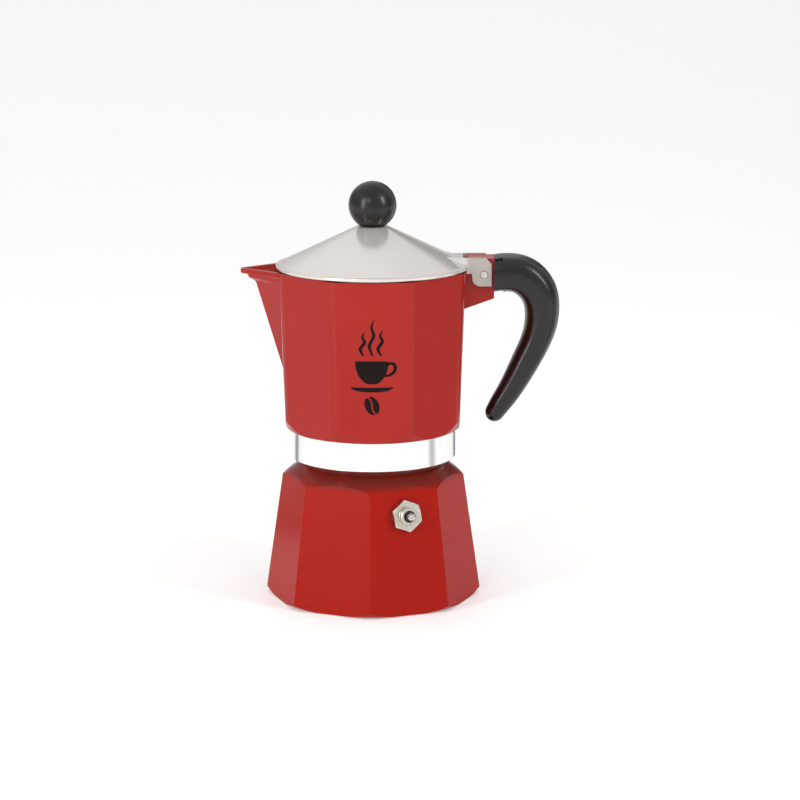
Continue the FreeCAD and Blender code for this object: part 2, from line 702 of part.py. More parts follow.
try:
    round_edges(lid, "ear_shoulders", ear_shoulder, 0.9)
    if "Invalid" in lid.Tip.State or lid.Tip.Shape.isNull():
        raise RuntimeError("fillet")
except Exception:
    bad = lid.Tip
    if bad.TypeId == "PartDesign::Fillet":
        lid.removeObject(bad)
        doc.removeObject(bad.Name)
    print("ear shoulders left square")
# room for the lug: everything between the ears inside its swing is open
sk = new_sketch(lid, "lug_room_sk", "XZ_Plane")
circle(sk, pin_x, pin_z, 9.0)
pocket(lid, "lug_room", sk, (lug_half + 0.2) * 2, symmetric=True)
sk = new_sketch(lid, "ear_hole_sk", "XZ_Plane")
circle(sk, pin_x, pin_z, pin_rad + 0.06)
pocket(lid, "ear_holes", sk, 30.0, symmetric=True)
keep(lid, "lid")

hp = new_body("hinge_pin")
sk = new_sketch(hp, "pin_sk", "XZ_Plane")
circle(sk, 0, 0, pin_rad)
pad(hp, "pin_shank", sk, (ear_in + ear_thick + 0.1) * 2, symmetric=True)
for tag, off, rev in (("near", ear_in + ear_thick + 0.1, False), ("far", -(ear_in + ear_thick + 0.1), True)):
    sk = new_sketch(hp, "head_%s_sk" % tag, "XZ_Plane", off)
    circle(sk, 0, 0, pin_rad + 0.25)
    pad(hp, "head_" + tag, sk, 0.5, reverse=rev, taper=-25)
hp.Placement = Pl(V(pin_x.v, 0, pin_z.v), Rot())
keep(hp, "hinge_pin")

# ---------------------------------------------------------------------------
# Knob and its fixings
# ---------------------------------------------------------------------------
foot_r = math.sqrt(knob_rad.v ** 2 - (knob_z.v - lid_flat.v) ** 2)    # the ball is cut flat where it stands on the lid
kn = new_body("knob")
crown_r = 0.3
crown_join = math.sqrt(knob_rad.v ** 2 - crown_r ** 2)
sk = outline(new_sketch(kn, "knob_profile", "XZ_Plane"), [
    (0, lid_flat), (foot_r, lid_flat, knob_rad, 1), (knob_rad, knob_z, knob_rad, 1),
    (crown_r, knob_z + crown_join), (0, knob_z + crown_join)])
revolve(kn, "knob_ball", sk)
sk = outline(new_sketch(kn, "knob_hole_profile", "XZ_Plane"), [
    (0, lid_flat - 1), (2.5, lid_flat - 1), (2.5, 150.0), (0, 150.8)])
groove(kn, "knob_hole", sk)
keep(kn, "knob")

ki = turned("knob_insert", [(1.5, lid_flat + 0.3), (2.5, lid_flat + 0.3), (2.5, 149.6), (1.5, 149.6)])
keep(ki, "knob_insert")

kw = turned("knob_washer", [(1.7, lid_flat - 1.8), (3.8, lid_flat - 1.8), (3.8, lid_flat - 1.2), (1.7, lid_flat - 1.2)])
keep(kw, "knob_washer")

ks = turned("knob_screw", [
    (0, lid_flat - 3.7), (1.6, lid_flat - 3.7), (2.6, lid_flat - 3.3), (2.9, lid_flat - 2.7), (2.9, lid_flat - 1.8), (1.48, lid_flat - 1.8),
    (1.48, 148.2), (1.1, 148.7), (0, 148.7)])
sk = new_sketch(ks, "knob_screw_slot_sk", "XY_Plane", lid_flat - 3.7)
outline(sk, [(-4, -0.4), (4, -0.4), (4, 0.4), (-4, 0.4)])
pocket(ks, "knob_screw_slot", sk, 1.8, symmetric=True)
keep(ks, "knob_screw")

# ---------------------------------------------------------------------------
# Handle: a moulded hook, lofted through upright sections along its centre line
# ---------------------------------------------------------------------------
# station: centre x, centre z, heading (x, z), half thickness, half width, fullness
stations = [
    (46.2, 124.40, 1.0, 0.0, 6.62, 9.2, 4.0),
    (50.2, 124.85, 1.0, -0.02, 6.75, 9.25, 3.8),
    (55.6, 124.15, 0.955, -0.296, 7.05, 9.2, 3.4),
    (60.65, 121.0, 0.785, -0.62, 7.25, 8.9, 3.0),
    (63.85, 115.9, 0.48, -0.877, 7.0, 8.5, 2.8),
    (64.75, 110.1, 0.13, -0.991, 6.55, 8.1, 2.6),
    (64.35, 105.2, -0.13, -0.991, 6.22, 7.7, 2.5),
    (62.5, 98.7, -0.352, -0.936, 5.76, 7.2, 2.4),
    (59.2, 91.5, -0.435, -0.90, 5.4, 6.6, 2.4),
    (55.5, 84.3, -0.475, -0.88, 4.98, 5.95, 2.3),
    (51.5, 77.3, -0.51, -0.86, 4.45, 5.2, 2.3),
    (48.7, 73.1, -0.53, -0.848, 4.06, 4.6, 2.2),
    (47.1, 70.6, -0.53, -0.848, 3.75, 4.1, 2.1)]
grip = []
for i, st in enumerate(stations):
    tag = "abcdefghijklm"[i]
    grip.append((size("grip_x_" + tag, st[0], "handle station, X"), size("grip_z_" + tag, st[1], "handle station, Z"),
                 st[2], st[3], size("grip_thick_" + tag, st[4], "half thickness there"),
                 size("grip_wide_" + tag, st[5], "half width there"), st[6]))
doc.recompute()


AROUND = 16
SHRINK = (4 + 2 * math.cos(2 * math.pi / AROUND)) / 6.0    # a cubic ring lies inside its control ring


def control_ring(x, z, hx_, hz_, a, b, full):
    """Control points of one oval ring across the heading."""
    n_ = math.hypot(hx_, hz_)
    hx_, hz_ = hx_ / n_, hz_ / n_
    out = V(-hz_, 0, hx_)          # towards the outer side of the hook
    pts = []
    for k in range(AROUND):
        t = 2 * math.pi * k / AROUND
        c, s_ = math.cos(t), math.sin(t)
        # distance along this direction of a superellipse
        r_ = (abs(c) ** full + abs(s_) ** full) ** (-1.0 / full) / SHRINK
        pts.append(V(x, 0, z) + V(0, 1, 0) * (r_ * c * b) + out * (r_ * s_ * a))
    return pts


last = grip[-1]
tip_len = size("grip_tip", 4.15, "length of the rounded tip")
doc.recompute()
plan = [(g[0].v, g[1].v, g[2], g[3], g[4].v, g[5].v, g[6]) for g in grip]
for frac in (0.35, 0.62, 0.82, 0.94, 0.995):
    k = math.sqrt(1 - frac * frac)
    plan.append((last[0].v + last[2] * tip_len.v * frac, last[1].v + last[3] * tip_len.v * frac, last[2], last[3],
                 last[4].v * k, last[5].v * k, 2.05))
rings = [control_ring(*p) for p in plan]
# along the hook each line of control points is interpolated at the stations
params = [0.0]
for i in range(1, len(plan)):
    params.append(params[-1] + math.hypot(plan[i][0] - plan[i - 1][0], plan[i][1] - plan[i - 1][1]) + 0.35)
lines = []
for k in range(AROUND):
    c_ = Part.BSplineCurve()
    c_.interpolate(Points=[r[k] for r in rings], Parameters=params)
    lines.append(c_)
v_knots, v_mults = lines[0].getKnots(), lines[0].getMultiplicities()
poles = [c_.getPoles() for c_ in lines]
surf = Part.BSplineSurface()
surf.buildFromPolesMultsKnots(poles, [1] * (AROUND + 1), v_mults, [float(i) for i in range(AROUND + 1)], v_knots,
                              True, False, 3, lines[0].Degree)
skin = surf.toShape()
caps = []
for e in skin.Edges:
    if e.isClosed() and not e.Degenerated and e.isSeam(skin.Faces[0] if skin.Faces else skin) is False:
        caps.append(Part.Face(Part.Wire([e])))
sewn = Part.makeCompound([skin.Faces[0]] + caps)
sewn.sewShape()
shell = sewn.Shells[0]
grip_solid = Part.Solid(shell)
if grip_solid.Volume < 0:
    grip_solid.reverse()
grip_loft = doc.addObject("Part::Feature", "grip_body")
grip_loft.Shape = grip_solid
print("grip", grip_solid.isValid(), shell.isClosed(), len(caps), round(grip_solid.Volume))


def box(name, x0, x1, y0, y1, z0, z1):
    o = doc.addObject("Part::Box", name)
    x0, x1, y0, y1, z0, z1 = [q(c) for c in (x0, x1, y0, y1, z0, z1)]
    bind(o, "Length", x1 - x0)
    bind(o, "Width", y1 - y0)
    bind(o, "Height", z1 - z0)
    o.Placement = Pl(V(x0.v, y0.v, z0.v), Rot())
    return o


socket = box("handle_socket", 44.0, 56.1, -4.7, 4.7, 118.9, 129.5)
pocket_near = box("ear_pocket_near", 44.0, 49.4, -(ear_in + ear_thick + 0.3), -(ear_in - 0.25), 121.0, 140.0)
pocket_far = box("ear_pocket_far", 44.0, 49.4, ear_in - 0.25, ear_in + ear_thick + 0.3, 121.0, 140.0)
screw_way = doc.addObject("Part::Cylinder", "handle_screw_way")
screw_way.Radius = 1.7
screw_way.Height = 10
screw_way.Placement = Pl(V(51.4, 0, 112.0), Rot())
screw_sink = doc.addObject("Part::Cylinder", "handle_screw_sink")
screw_sink.Radius = 3.2
screw_sink.Height = 6.6
screw_sink.Placement = Pl(V(51.4, 0, 112.0), Rot())
grip_tools = doc.addObject("Part::MultiFuse", "grip_tools")
grip_tools.Shapes = [socket, pocket_near, pocket_far, screw_way]
grip_cut = doc.addObject("Part::Cut", "handle")
grip_cut.Base = grip_loft
grip_cut.Tool = grip_tools
keep(grip_cut, "handle")

hs = turned("handle_screw", [
    (0, 117.35), (1.62, 117.35), (1.62, 118.6), (1.28, 118.9), (1.28, 125.6), (0.9, 126.0), (0, 126.0)])
hs.Placement = Pl(V(51.4, 0, 0), Rot())
sk = new_sketch(hs, "handle_screw_slot_sk", "XY_Plane", 117.35)
outline(sk, [(-3, -0.3), (3, -0.3), (3, 0.3), (-3, 0.3)])
pocket(hs, "handle_screw_slot", sk, 1.4, symmetric=True)
keep(hs, "handle_screw")

# ---------------------------------------------------------------------------
# Check everything, then write one STEP file per node
# ---------------------------------------------------------------------------
doc.recompute()
faults = []
for o in doc.Objects:
    state = list(o.State)
    if "Invalid" in state or "Error" in state:
        faults.append("%s (%s): %s" % (o.Name, o.Label, state))
for obj, name in nodes:
    s_ = obj.Shape
    if s_.isNull() or not s_.isValid():
        faults.append("%s: bad shape" % name)
    elif len(s_.Solids) != 1:
        faults.append("%s: %d solids" % (name, len(s_.Solids)))
if faults:
    for f in faults:
        print("FAULT", f)
    raise RuntimeError("%d faults" % len(faults))

os.makedirs("parts", exist_ok=True)
for obj, name in nodes:
    obj.Shape.exportStep("parts/%s.step" % name)
    b = obj.Shape.BoundBox
    print("%-14s vol %9.1f  x %7.2f %7.2f  y %7.2f %7.2f  z %7.2f %7.2f" % (
        name, obj.Shape.Volume, b.XMin, b.XMax, b.YMin, b.YMax, b.ZMin, b.ZMax))
print(len(nodes), "nodes")
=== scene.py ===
import bpy
import bmesh
import math
import json
from mathutils import Vector, Matrix

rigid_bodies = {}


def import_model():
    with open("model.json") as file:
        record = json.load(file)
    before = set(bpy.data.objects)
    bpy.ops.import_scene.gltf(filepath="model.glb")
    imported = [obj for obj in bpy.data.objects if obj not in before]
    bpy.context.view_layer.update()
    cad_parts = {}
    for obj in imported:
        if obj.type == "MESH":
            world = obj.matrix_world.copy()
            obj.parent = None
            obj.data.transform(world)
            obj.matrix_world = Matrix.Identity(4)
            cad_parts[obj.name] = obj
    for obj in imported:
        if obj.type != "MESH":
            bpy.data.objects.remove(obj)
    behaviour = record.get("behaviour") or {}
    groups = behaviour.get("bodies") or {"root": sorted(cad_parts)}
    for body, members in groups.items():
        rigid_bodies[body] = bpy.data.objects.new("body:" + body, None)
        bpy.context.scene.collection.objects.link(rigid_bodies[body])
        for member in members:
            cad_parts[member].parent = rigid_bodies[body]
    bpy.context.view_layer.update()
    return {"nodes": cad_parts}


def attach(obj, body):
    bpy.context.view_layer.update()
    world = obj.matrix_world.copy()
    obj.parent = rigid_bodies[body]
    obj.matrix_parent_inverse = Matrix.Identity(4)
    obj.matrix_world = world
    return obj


for ob in list(bpy.data.objects):
    bpy.data.objects.remove(ob, do_unlink=True)

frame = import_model()
N = frame["nodes"]


# ---------------------------------------------------------------------------
# material helpers
# ---------------------------------------------------------------------------
class Mat:
    """A node material on one Principled shader."""

    def __init__(self, name, tree=None):
        if tree is None:
            self.m = bpy.data.materials.new(name)
            self.m.use_nodes = True
            self.t = self.m.node_tree
            self.b = self.t.nodes["Principled BSDF"]
            self.co = self.node("ShaderNodeTexCoord").outputs["Object"]
        else:
            self.t = tree
            self.co = self.node("ShaderNodeTexCoord").outputs["Generated"]

    def node(self, kind, **props):
        n = self.t.nodes.new(kind)
        for k, v in props.items():
            setattr(n, k, v)
        return n

    def link(self, a, b):
        self.t.links.new(a, b)

    def put(self, socket, v):
        if isinstance(v, bpy.types.NodeSocket):
            self.link(v, socket)
        else:
            socket.default_value = v

    def math(self, op, a, b=None, c=None, clamp=False):
        n = self.node("ShaderNodeMath", operation=op, use_clamp=clamp)
        self.put(n.inputs[0], a)
        if b is not None:
            self.put(n.inputs[1], b)
        if c is not None:
            self.put(n.inputs[2], c)
        return n.outputs[0]

    def xyz(self, co=None):
        n = self.node("ShaderNodeSeparateXYZ")
        self.link(co or self.co, n.inputs[0])
        return n.outputs[0], n.outputs[1], n.outputs[2]

    def scaled(self, sx, sy, sz, co=None):
        n = self.node("ShaderNodeMapping")
        n.inputs["Scale"].default_value = (sx, sy, sz)
        self.link(co or self.co, n.inputs["Vector"])
        return n.outputs[0]

    def noise(self, scale, detail=3.0, rough=0.5, co=None, dist=0.0):
        n = self.node("ShaderNodeTexNoise")
        n.inputs["Scale"].default_value = scale
        n.inputs["Detail"].default_value = detail
        n.inputs["Roughness"].default_value = rough
        n.inputs["Distortion"].default_value = dist
        self.link(co or self.co, n.inputs["Vector"])
        return n.outputs["Fac"]

    def ramp(self, fac, stops, interp="LINEAR"):
        n = self.node("ShaderNodeValToRGB")
        n.color_ramp.interpolation = interp
        e = n.color_ramp.elements
        while len(e) < len(stops):
            e.new(0.5)
        for el, (p, c) in zip(e, stops):
            el.position = p
            el.color = c if len(c) == 4 else (*c, 1)
        self.link(fac, n.inputs[0])
        return n.outputs["Color"]

    def span(self, v, a, b, lo=0.0, hi=1.0, smooth=True):
        """v from a..b mapped to lo..hi, clamped."""
        n = self.node("ShaderNodeMapRange")
        n.interpolation_type = "SMOOTHSTEP" if smooth else "LINEAR"
        n.clamp = True
        self.put(n.inputs[0], v)
        n.inputs[1].default_value = a
        n.inputs[2].default_value = b
        n.inputs[3].default_value = lo
        n.inputs[4].default_value = hi
        return n.outputs[0]

    def mixc(self, fac, a, b, mode="MIX"):
        n = self.node("ShaderNodeMix", data_type="RGBA", blend_type=mode)
        self.put(n.inputs[0], fac)
        for s, v in ((n.inputs[6], a), (n.inputs[7], b)):
            if isinstance(v, tuple):
                v = v if len(v) == 4 else (*v, 1)
            self.put(s, v)
        return n.outputs[2]

    def mixf(self, fac, a, b):
        n = self.node("ShaderNodeMix", data_type="FLOAT")
        self.put(n.inputs[0], fac)
        self.put(n.inputs[2], a)
        self.put(n.inputs[3], b)
        return n.outputs[0]

    def bump(self, height, strength, distance, normal=None):
        n = self.node("ShaderNodeBump")
        n.inputs["Strength"].default_value = strength
        n.inputs["Distance"].default_value = distance
        self.link(height, n.inputs["Height"])
        if normal is not None:
            self.link(normal, n.inputs["Normal"])
        return n.outputs[0]

    def set(self, **kw):
        for k, v in kw.items():
            s = self.b.inputs[k.replace("_", " ")]
            if isinstance(v, tuple) and len(v) == 3:
                v = (*v, 1)
            self.put(s, v)


def lin(r, g, b):
    f = lambda c: (c / 255 / 12.92) if c / 255 <= 0.04045 else ((c / 255 + 0.055) / 1.055) ** 2.4
    return (f(r), f(g), f(b))


def radius(m):
    x, y, z = m.xyz()
    return m.math("SQRT", m.math("ADD", m.math("MULTIPLY", x, x), m.math("MULTIPLY", y, y))), x, y, z


RED = (0.352, 0.0118, 0.0066)
RED_DEEP = (0.322, 0.0100, 0.0058)
ALU = (0.80, 0.79, 0.775)
ALU_DARK = (0.55, 0.545, 0.54)


def turned_lines(m, pitch, along):
    """Fine lathe lines: a wave along one coordinate."""
    v = m.math("MULTIPLY", along, 2 * math.pi / pitch)
    w = m.math("SINE", v)
    return m.math("MULTIPLY_ADD", w, 0.5, 0.5)


def enamel(m):
    """Stoved red enamel: slight colour drift, orange peel, a few dull rubbed places."""
    drift = m.noise(22.0, 2, 0.5)
    col = m.mixc(m.span(drift, 0.30, 0.75), RED, RED_DEEP)
    peel = m.noise(900.0, 2, 0.5)
    wide = m.noise(140.0, 2, 0.4)
    rub = m.noise(60.0, 4, 0.6, dist=0.6)
    rough = m.math("ADD", m.span(rub, 0.45, 0.80, 0.17, 0.25), m.math("MULTIPLY", peel, 0.04))
    h = m.math("ADD", m.math("MULTIPLY", peel, 0.35), m.math("MULTIPLY", wide, 0.65))
    return col, rough, h


def red_boiler():
    m = Mat("red_enamel_boiler")
    col, rough, h = enamel(m)
    r, x, y, z = radius(m)
    # bare metal: the foot ring and underside, the neck above the shoulder, the inside
    under = m.span(z, 0.00030, 0.00055, 1.0, 0.0)
    neck = m.span(z, 0.0556, 0.0559)
    # the chamber: everything nearer the axis than a surface midway through the wall
    wall = m.math("SUBTRACT", m.math("ADD", m.span(z, 0.0070, 0.0440, 0.0354, 0.0306, smooth=False),
                                     m.span(z, 0.0488, 0.0492, 0.0, -0.0044)), r)
    inside = m.math("MULTIPLY", m.span(wall, -0.0002, 0.0002), m.span(z, 0.0035, 0.0042))
    bare = m.math("MAXIMUM", under, m.math("MAXIMUM", neck, inside))
    # painted shade: the shoulder under the skirt is darkened in the colour, standing in for the shade and dark
    # reflections under the overhang
    skirt_shade = m.math("MULTIPLY", m.span(z, 0.0462, 0.0500), m.span(r, 0.0362, 0.0335))
    skirt_shade = m.math("MULTIPLY", skirt_shade, m.span(m.noise(85.0, 4, 0.6), 0.15, 0.60, 0.45, 0.80))
    # painted shade: near-black red mixed into the enamel on the shoulder, broken up by noise
    col = m.mixc(skirt_shade, col, (0.105, 0.020, 0.013))
    lathe = turned_lines(m, 0.00035, r)
    metal = m.mixc(m.noise(220.0, 3), ALU, ALU_DARK)
    m.set(Base_Color=m.mixc(bare, col, metal), Metallic=bare,
          Roughness=m.mixf(bare, rough, m.math("MULTIPLY_ADD", m.noise(180.0, 3), 0.16, 0.26)),
          Normal=m.bump(m.mixf(bare, h, lathe), 0.25, 0.00005))
    m.set(Specular_IOR_Level=0.07, IOR=1.5)
    return m.m


def red_collector():
    m = Mat("red_enamel_collector")
    col, rough, h = enamel(m)
    r, x, y, z = radius(m)
    skirt = m.span(z, 0.06585, 0.06595, 1.0, 0.0)
    # inside of the jug: a cone 0.4 mm wider than the turned wall; the rim's flat top stays red
    wall = m.math("SUBTRACT", m.math("MULTIPLY_ADD", m.math("SUBTRACT", z, 0.0752), 0.0476, 0.03070), r)
    inside = m.math("MULTIPLY", m.span(wall, -0.00012, 0.00012), m.span(z, 0.0716, 0.0720))
    inside = m.math("MULTIPLY", inside, m.span(z, 0.12735, 0.12755, 1.0, 0.0))
    bare = m.math("MAXIMUM", skirt, inside)
    # the band is finely turned: lines run round it, so they follow height
    lines = m.math("ADD", m.math("MULTIPLY", turned_lines(m, 0.00028, z), 0.6),
                   m.math("MULTIPLY", m.noise(1.0, 2, 0.5, co=m.scaled(30, 30, 9000)), 0.8))
    metal = m.mixc(m.noise(1.0, 3, 0.6, co=m.scaled(60, 60, 2500)), (0.93, 0.925, 0.915), (0.87, 0.865, 0.855))
    m.set(Base_Color=m.mixc(bare, col, metal), Metallic=bare,
          Roughness=m.mixf(bare, rough, m.math("MULTIPLY_ADD", m.noise(1.0, 3, co=m.scaled(80, 80, 3000)), 0.10, 0.10)),
          Normal=m.bump(m.mixf(bare, h, lines), 0.25, 0.00004))
    m.set(Specular_IOR_Level=0.26, IOR=1.5)
    return m.m


def polished_lid():
    m = Mat("polished_aluminium")
    r, x, y, z = radius(m)
    rings = m.math("ADD", m.math("MULTIPLY", turned_lines(m, 0.0004, r), 0.35), m.noise(260.0, 3, 0.55))
    drift = m.noise(24.0, 3, 0.5)
    scr = m.noise(1.0, 2, 0.7, co=m.scaled(900, 120, 300), dist=0.5)
    # the stamped ears and rear tab are left dull
    dull = m.span(x, 0.0345, 0.0372)
    col = m.mixc(drift, (0.725, 0.683, 0.66), (0.685, 0.645, 0.62))
    rough = m.math("ADD", m.math("MULTIPLY_ADD", m.noise(70.0, 4, 0.6), 0.08, 0.13), m.span(scr, 0.62, 0.74, 0.0, 0.05))
    grain = m.noise(1.0, 3, 0.6, co=m.scaled(300, 300, 2600))
    m.set(Base_Color=m.mixc(dull, col, m.mixc(grain, (0.48, 0.44, 0.405), (0.40, 0.365, 0.335))), Metallic=0.46,
          Roughness=m.mixf(dull, rough, m.math("MULTIPLY_ADD", grain, 0.15, 0.34)),
          Normal=m.bump(m.mixf(dull, rings, m.math("MULTIPLY", grain, 3.0)), 0.10, 0.00002))
    return m.m


def plain_metal(name, a, b, rough_lo, rough_hi, grain=260.0, strength=0.3, line=None):
    m = Mat(name)
    n = m.noise(grain, 3, 0.6)
    h = n
    if line:
        r, x, y, z = radius(m)
        h = m.math("ADD", m.math("MULTIPLY", n, 0.5), turned_lines(m, line, r))
    m.set(Base_Color=m.mixc(m.noise(grain * 0.35, 4, 0.6), a, b), Metallic=1.0,
          Roughness=m.span(m.noise(grain * 0.6, 4, 0.65), 0.3, 0.7, rough_lo, rough_hi),
          Normal=m.bump(h, strength, 0.00004))
    return m.m


def black_plastic(name, rough=0.40):
    m = Mat(name)
    fine = m.noise(2600.0, 2, 0.5)
    wide = m.noise(160.0, 3, 0.5)
    wear = m.noise(46.0, 4, 0.6)
    m.set(Base_Color=m.mixc(m.span(wear, 0.4, 0.7), lin(17, 12, 9), lin(23, 17, 13)),
          Roughness=m.math("ADD", m.span(wear, 0.35, 0.7, rough - 0.05, rough + 0.06), m.math("MULTIPLY", fine, 0.05)),
          Normal=m.bump(m.math("ADD", m.math("MULTIPLY", fine, 0.5), wide), 0.22, 0.00005))
    m.set(Specular_IOR_Level=0.45, IOR=1.5)
    return m.m


def rubber(name, c1, c2, rough=0.6):
    m = Mat(name)
    m.set(Base_Color=m.mixc(m.noise(300.0, 3), c1, c2),
          Roughness=m.span(m.noise(500.0, 3), 0.3, 0.7, rough - 0.08, rough + 0.08),
          Normal=m.bump(m.noise(1500.0, 2), 0.3, 0.00005))
    return m.m


mats = {
    "boiler": red_boiler(), "collector": red_collector(), "lid": polished_lid(),
    "black": black_plastic("black_plastic", 0.24), "knob": black_plastic("black_knob", 0.26),
    "nickel": plain_metal("nickel", (0.66, 0.62, 0.56), (0.56, 0.52, 0.46), 0.22, 0.38, 500.0),
    "steel": plain_metal("plain_steel", (0.62, 0.61, 0.60), (0.50, 0.495, 0.49), 0.2, 0.36, 420.0),
    "brass": plain_metal("brass", (0.72, 0.53, 0.24), (0.60, 0.43, 0.18), 0.22, 0.4, 420.0),
    "alu": plain_metal("spun_aluminium", (0.74, 0.735, 0.725), (0.62, 0.615, 0.61), 0.25, 0.42, 200.0, 0.35, 0.0004),
    "gasket": rubber("white_rubber", (0.78, 0.76, 0.70), (0.70, 0.68, 0.62)),
    "seal": rubber("grey_rubber", (0.10, 0.10, 0.10), (0.07, 0.07, 0.07)),
    "fibre": rubber("red_fibre", (0.35, 0.10, 0.05), (0.28, 0.07, 0.04), 0.7),
}
use = {
    "boiler": "boiler", "collector": "collector", "lid": "lid", "handle": "black", "knob": "knob",
    "valve_body": "nickel", "valve_pin": "steel", "valve_spring": "steel", "valve_seat": "brass", "valve_seal": "seal",
    "valve_washer": "fibre", "funnel_bowl": "alu", "funnel_stem": "alu", "funnel_screen": "alu", "filter_plate": "alu",
    "column": "alu", "gasket": "gasket", "hinge_pin": "steel", "knob_insert": "brass", "knob_screw": "steel",
    "knob_washer": "steel", "handle_screw": "steel"}
for node, key in use.items():
    o = N[node]
    if not o.material_slots:
        o.data.materials.append(mats[key])
    for s in o.material_slots:
        s.link = "OBJECT"
        s.material = mats[key]

# ---------------------------------------------------------------------------
# printed emblem on the front facet: a plain steaming cup over a coffee bean
# ---------------------------------------------------------------------------
TAPER = math.radians(1.95)


def on_facet(u, v, lift):
    """Point on the front facet, u to the right and v up along it from z 0.0959."""
    z = 0.0959 + v * math.cos(TAPER)
    y = -(0.0331 + (z - 0.0659) * math.tan(TAPER)) - lift / math.cos(TAPER)
    return (u, y, z)


def smooth_line(points, closed, steps=8):
    """Catmull-Rom through the points."""
    n = len(points)
    out = []
    for i in range(n if closed else n - 1):
        p = [points[(i + k) % n] if closed else points[min(max(i + k, 0), n - 1)] for k in (-1, 0, 1, 2)]
        for s_ in range(steps):
            t = s_ / steps
            out.append(tuple(0.5 * (2 * p[1][a] + (p[2][a] - p[0][a]) * t + (2 * p[0][a] - 5 * p[1][a] + 4 * p[2][a] - p[3][a]) * t * t
                                    + (-p[0][a] + 3 * p[1][a] - 3 * p[2][a] + p[3][a]) * t ** 3) for a in (0, 1)))
    if not closed:
        out.append(points[-1])
    return out


def stroke(points, widths):
    """Outline of a line of varying width, rounded at its ends."""
    line = smooth_line(points, False)
    n = len(line)
    left, right = [], []
    for i, (u, v) in enumerate(line):
        a, b_ = line[max(i - 1, 0)], line[min(i + 1, n - 1)]
        du, dv = b_[0] - a[0], b_[1] - a[1]
        l_ = math.hypot(du, dv) or 1e-9
        f = i / (n - 1) * (len(widths) - 1)
        k = min(int(f), len(widths) - 2)
        wd = widths[k] + (widths[k + 1] - widths[k]) * (f - k)
        left.append((u - dv / l_ * wd, v + du / l_ * wd))
        right.append((u + dv / l_ * wd, v - du / l_ * wd))
    cap = []
    u, v = line[-1]
    a = math.atan2(left[-1][1] - v, left[-1][0] - u)
    for k in range(1, 6):
        cap.append((u + widths[-1] * math.cos(a - math.pi * k / 6), v + widths[-1] * math.sin(a - math.pi * k / 6)))
    cap0 = []
    u, v = line[0]
    a = math.atan2(right[0][1] - v, right[0][0] - u)
    for k in range(1, 6):
        cap0.append((u + widths[0] * math.cos(a - math.pi * k / 6), v + widths[0] * math.sin(a - math.pi * k / 6)))
    return left + cap + right[::-1] + cap0


def print_shapes(name, shapes, film=0.00006):
    """Closed outlines as a thin film of ink on the facet, each a solid of its own."""
    mesh = bpy.data.meshes.new(name)
    b_ = bmesh.new()
    for loop in shapes:
        area2 = sum(loop[i][0] * loop[(i + 1) % len(loop)][1] - loop[(i + 1) % len(loop)][0] * loop[i][1] for i in range(len(loop)))
        if area2 < 0:
            loop = loop[::-1]
        low_ = [b_.verts.new(on_facet(u, v, -0.00002)) for u, v in loop]
        top_ = [b_.verts.new(on_facet(u, v, film)) for u, v in loop]
        f_ = b_.faces.new(top_)
        g_ = b_.faces.new(low_[::-1])
        for i in range(len(loop)):
            j = (i + 1) % len(loop)
            b_.faces.new((low_[i], low_[j], top_[j], top_[i]))
        bmesh.ops.triangulate(b_, faces=[f_, g_])
    bmesh.ops.recalc_face_normals(b_, faces=b_.faces)
    b_.to_mesh(mesh)
    b_.free()
    o = bpy.data.objects.new(name, mesh)
    bpy.context.collection.objects.link(o)
    return o


MM = 0.001
shapes = []
# cup: a bowl with a flat rim, drawn solid
bowl = [(-6.2, 2.0), (-6.0, -0.6), (-5.0, -3.4), (-3.3, -5.6), (-1.6, -6.6), (1.6, -6.6), (3.3, -5.6), (5.0, -3.4), (6.0, -0.6), (6.2, 2.0)]
shapes.append(smooth_line([(a * MM, c * MM) for a, c in bowl], False) )
# handle of the cup, a curled stroke
shapes.append(stroke([(a * MM, c * MM) for a, c in [(5.9, 0.9), (7.7, 1.2), (8.7, -0.2), (8.2, -2.0), (6.6, -3.2), (4.9, -3.5)]], [w_ * MM for w_ in (0.45, 0.6, 0.65, 0.6, 0.5, 0.4)]))
# saucer
sau = [(-8.0, -7.9), (-5.0, -8.0), (0.0, -8.05), (5.0, -8.0), (8.0, -7.9), (6.0, -9.2), (3.0, -9.7), (0, -9.8), (-3.0, -9.7), (-6.0, -9.2)]
shapes.append(smooth_line([(a * MM, c * MM) for a, c in sau], True, 4))
# three wisps of steam
for dx, top in ((-3.2, 13.0), (0.2, 17.5), (3.4, 13.6)):
    h0 = 4.2
    pts = [(dx, h0), (dx - 1.1, h0 + (top - h0) * 0.28), (dx + 0.5, h0 + (top - h0) * 0.56), (dx - 0.3, h0 + (top - h0) * 0.8), (dx + 0.5, top)]
    shapes.append(stroke([(a * MM, c * MM) for a, c in pts], [w_ * MM for w_ in (0.28, 0.62, 0.62, 0.42, 0.14)]))
# coffee bean under the saucer, in two halves
for sgn in (-1, 1):
    pts = []
    for k in range(25):
        t = -math.pi / 2 + math.pi * k / 24
        pts.append((sgn * (0.28 + 2.35 * math.cos(t)), -15.0 + 3.6 * math.sin(t)))
    for k in range(1, 12):
        t = 1 - 2 * k / 12
        pts.append((sgn * 0.28 + 0.45 * math.sin(t * math.pi), -15.0 + 3.6 * t))
    rot = math.radians(24)
    shapes.append([((a * math.cos(rot) - (c + 15.0) * math.sin(rot)) * MM, (-15.0 + a * math.sin(rot) + (c + 15.0) * math.cos(rot)) * MM) for a, c in pts])
emblem = print_shapes("printed_emblem", shapes)
ink = Mat("black_ink")
ink.set(Base_Color=ink.mixc(ink.noise(700.0, 3), lin(14, 7, 6), lin(26, 12, 10)),
        Roughness=ink.span(ink.noise(300.0, 3), 0.3, 0.7, 0.34, 0.48), Normal=ink.bump(ink.noise(2200.0, 2), 0.25, 0.00002))
ink.set(Specular_IOR_Level=0.12)
emblem.data.materials.append(ink.m)
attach(emblem, "collector_unit")

